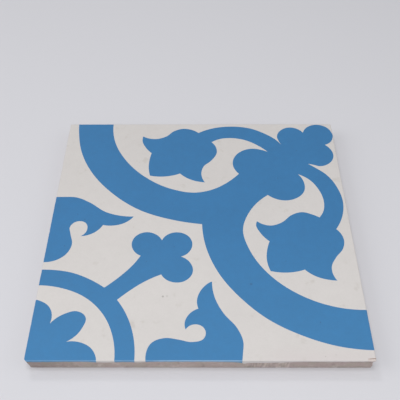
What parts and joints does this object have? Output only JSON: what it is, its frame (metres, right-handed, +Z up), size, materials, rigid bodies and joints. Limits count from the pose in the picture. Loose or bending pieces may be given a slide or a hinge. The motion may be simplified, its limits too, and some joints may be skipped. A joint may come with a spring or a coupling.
{
  "type": "honed cement tile",
  "caption": "Square pressed cement tile with a honed face, patterned in blue on off-white, and a plain back.",
  "frame": {"origin": "centre of the back, on the plane that the tile lies on", "axes": "+Z up through the honed face, -Y towards the front side, +X to the right; the pattern's small corner flower is at -X -Y and its large corner cluster at +X +Y"},
  "size_m": [0.1998, 0.1998, 0.0106],
  "materials": {
    "mortar": "rough pressed cement mortar",
    "blue_face": "honed pigmented cement, matt",
    "white_face": "honed white cement, matt"
  },
  "bodies": {
    "root": {"tile": "mortar"}
  },
  "joints": []
}
